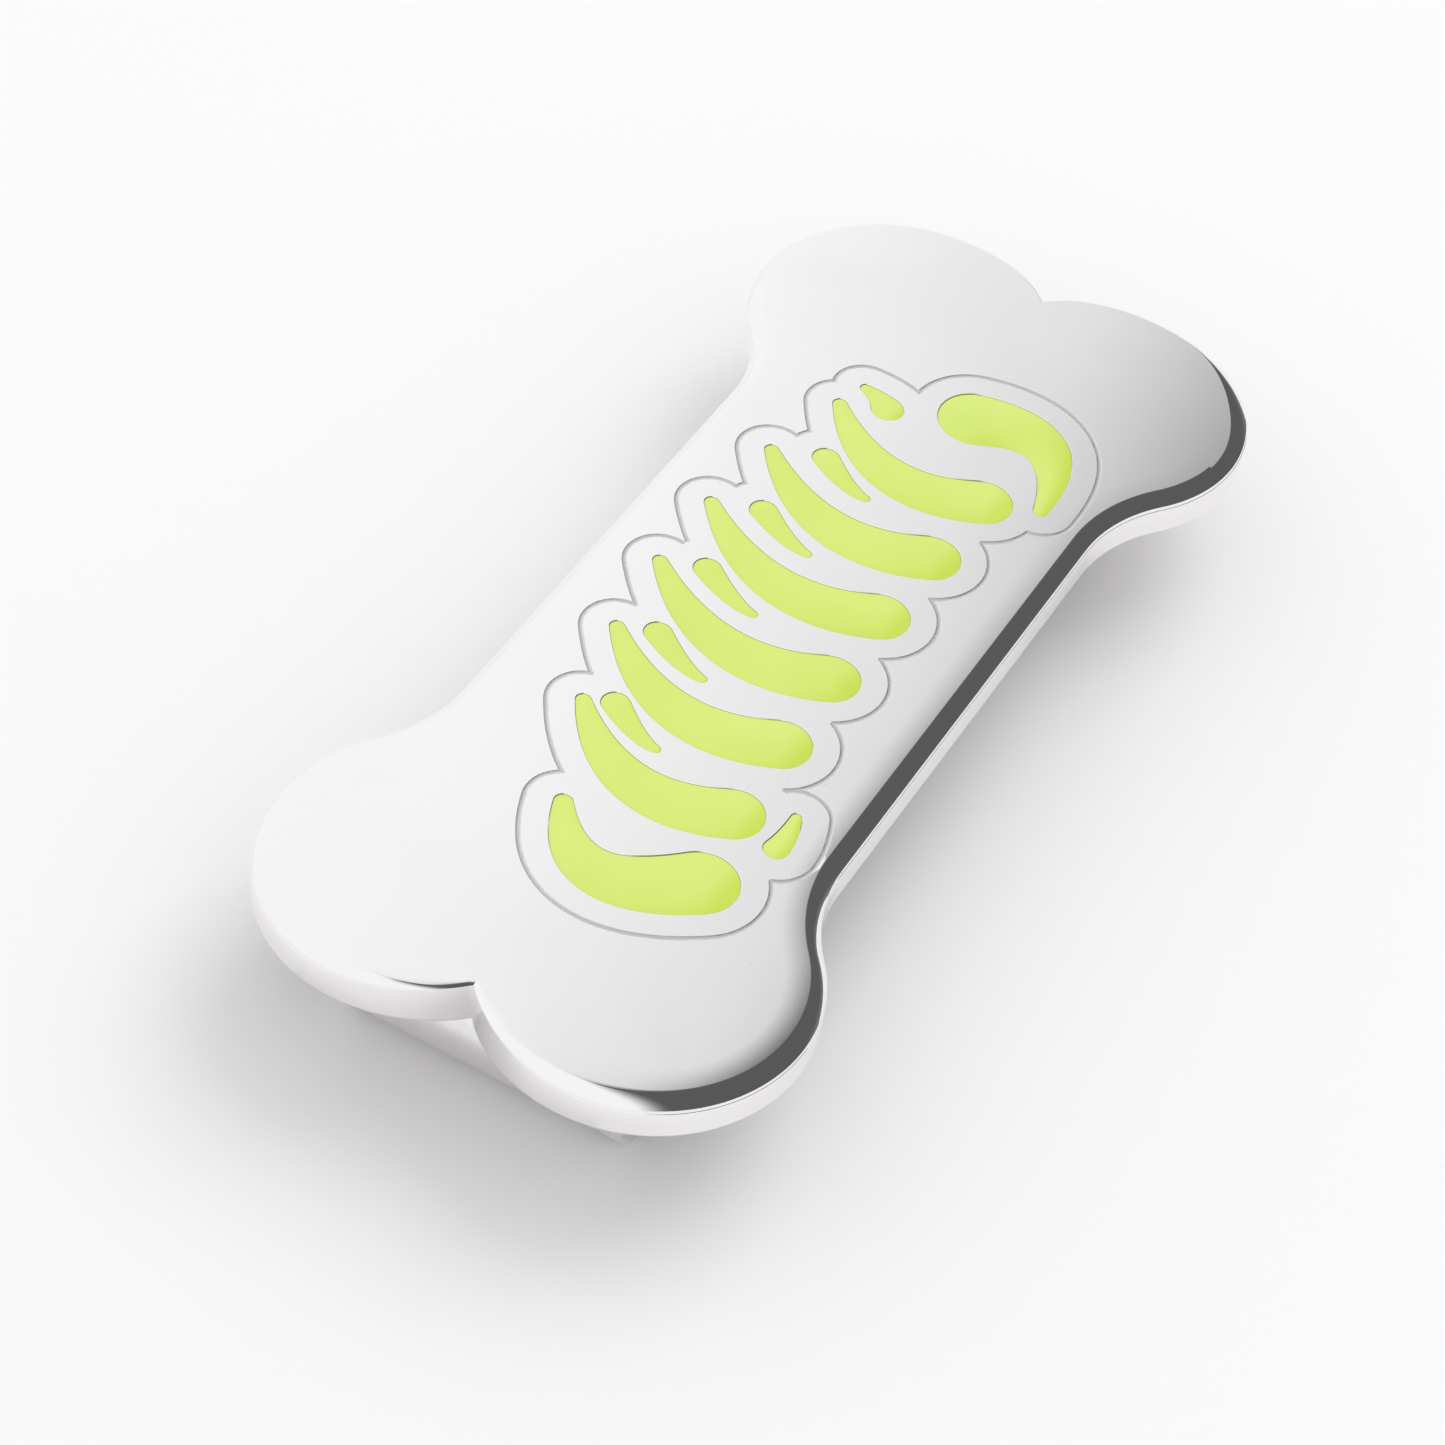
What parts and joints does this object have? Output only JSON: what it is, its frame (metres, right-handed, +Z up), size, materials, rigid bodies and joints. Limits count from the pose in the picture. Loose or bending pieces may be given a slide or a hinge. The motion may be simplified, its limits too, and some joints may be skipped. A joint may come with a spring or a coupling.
{
  "type": "money clip",
  "caption": "Bone-shaped polished steel money clip with an enamelled flame border and a folded spring leaf on the back.",
  "frame": {"origin": "middle of the clip's underside, on the surface that it lies on", "axes": "+X along the clip from the strip's fold to its open end, +Y across it, +Z up through the front plate"},
  "size_m": [0.0786, 0.035, 0.0104],
  "materials": {
    "polished_steel": "mirror-polished stainless steel",
    "lime_enamel": "glossy lime soft enamel",
    "spring_steel": "satin-polished spring steel",
    "stud_steel": "filed steel stud heads"
  },
  "bodies": {
    "front": {"front_plate": "polished_steel", "enamel_flame_1": "lime_enamel", "enamel_flame_2": "lime_enamel", "enamel_flame_3": "lime_enamel", "enamel_flame_4": "lime_enamel", "enamel_flame_5": "lime_enamel", "enamel_flame_6": "lime_enamel", "enamel_spark_1": "lime_enamel", "enamel_spark_2": "lime_enamel", "enamel_spark_3": "lime_enamel", "enamel_spark_4": "lime_enamel", "enamel_spark_5": "lime_enamel", "enamel_curl_left": "lime_enamel", "enamel_curl_right": "lime_enamel", "enamel_drop_left": "lime_enamel", "enamel_drop_right": "lime_enamel", "spring_front_leg": "spring_steel", "spring_fold": "spring_steel", "stud_1": "stud_steel", "stud_2": "stud_steel", "stud_3": "stud_steel", "stud_4": "stud_steel"},
    "leaf": {"spring_leaf": "spring_steel"}
  },
  "joints": [
    {"name": "leaf_flex", "type": "hinge", "parent": "leaf", "child": "front", "pos_m": [-0.03165, 0, 0.0005], "axis": [0, -1, 0], "range_deg": [0, 9], "stiffness_Nm_per_rad": 1.5, "springref_deg": -4.58}
  ]
}
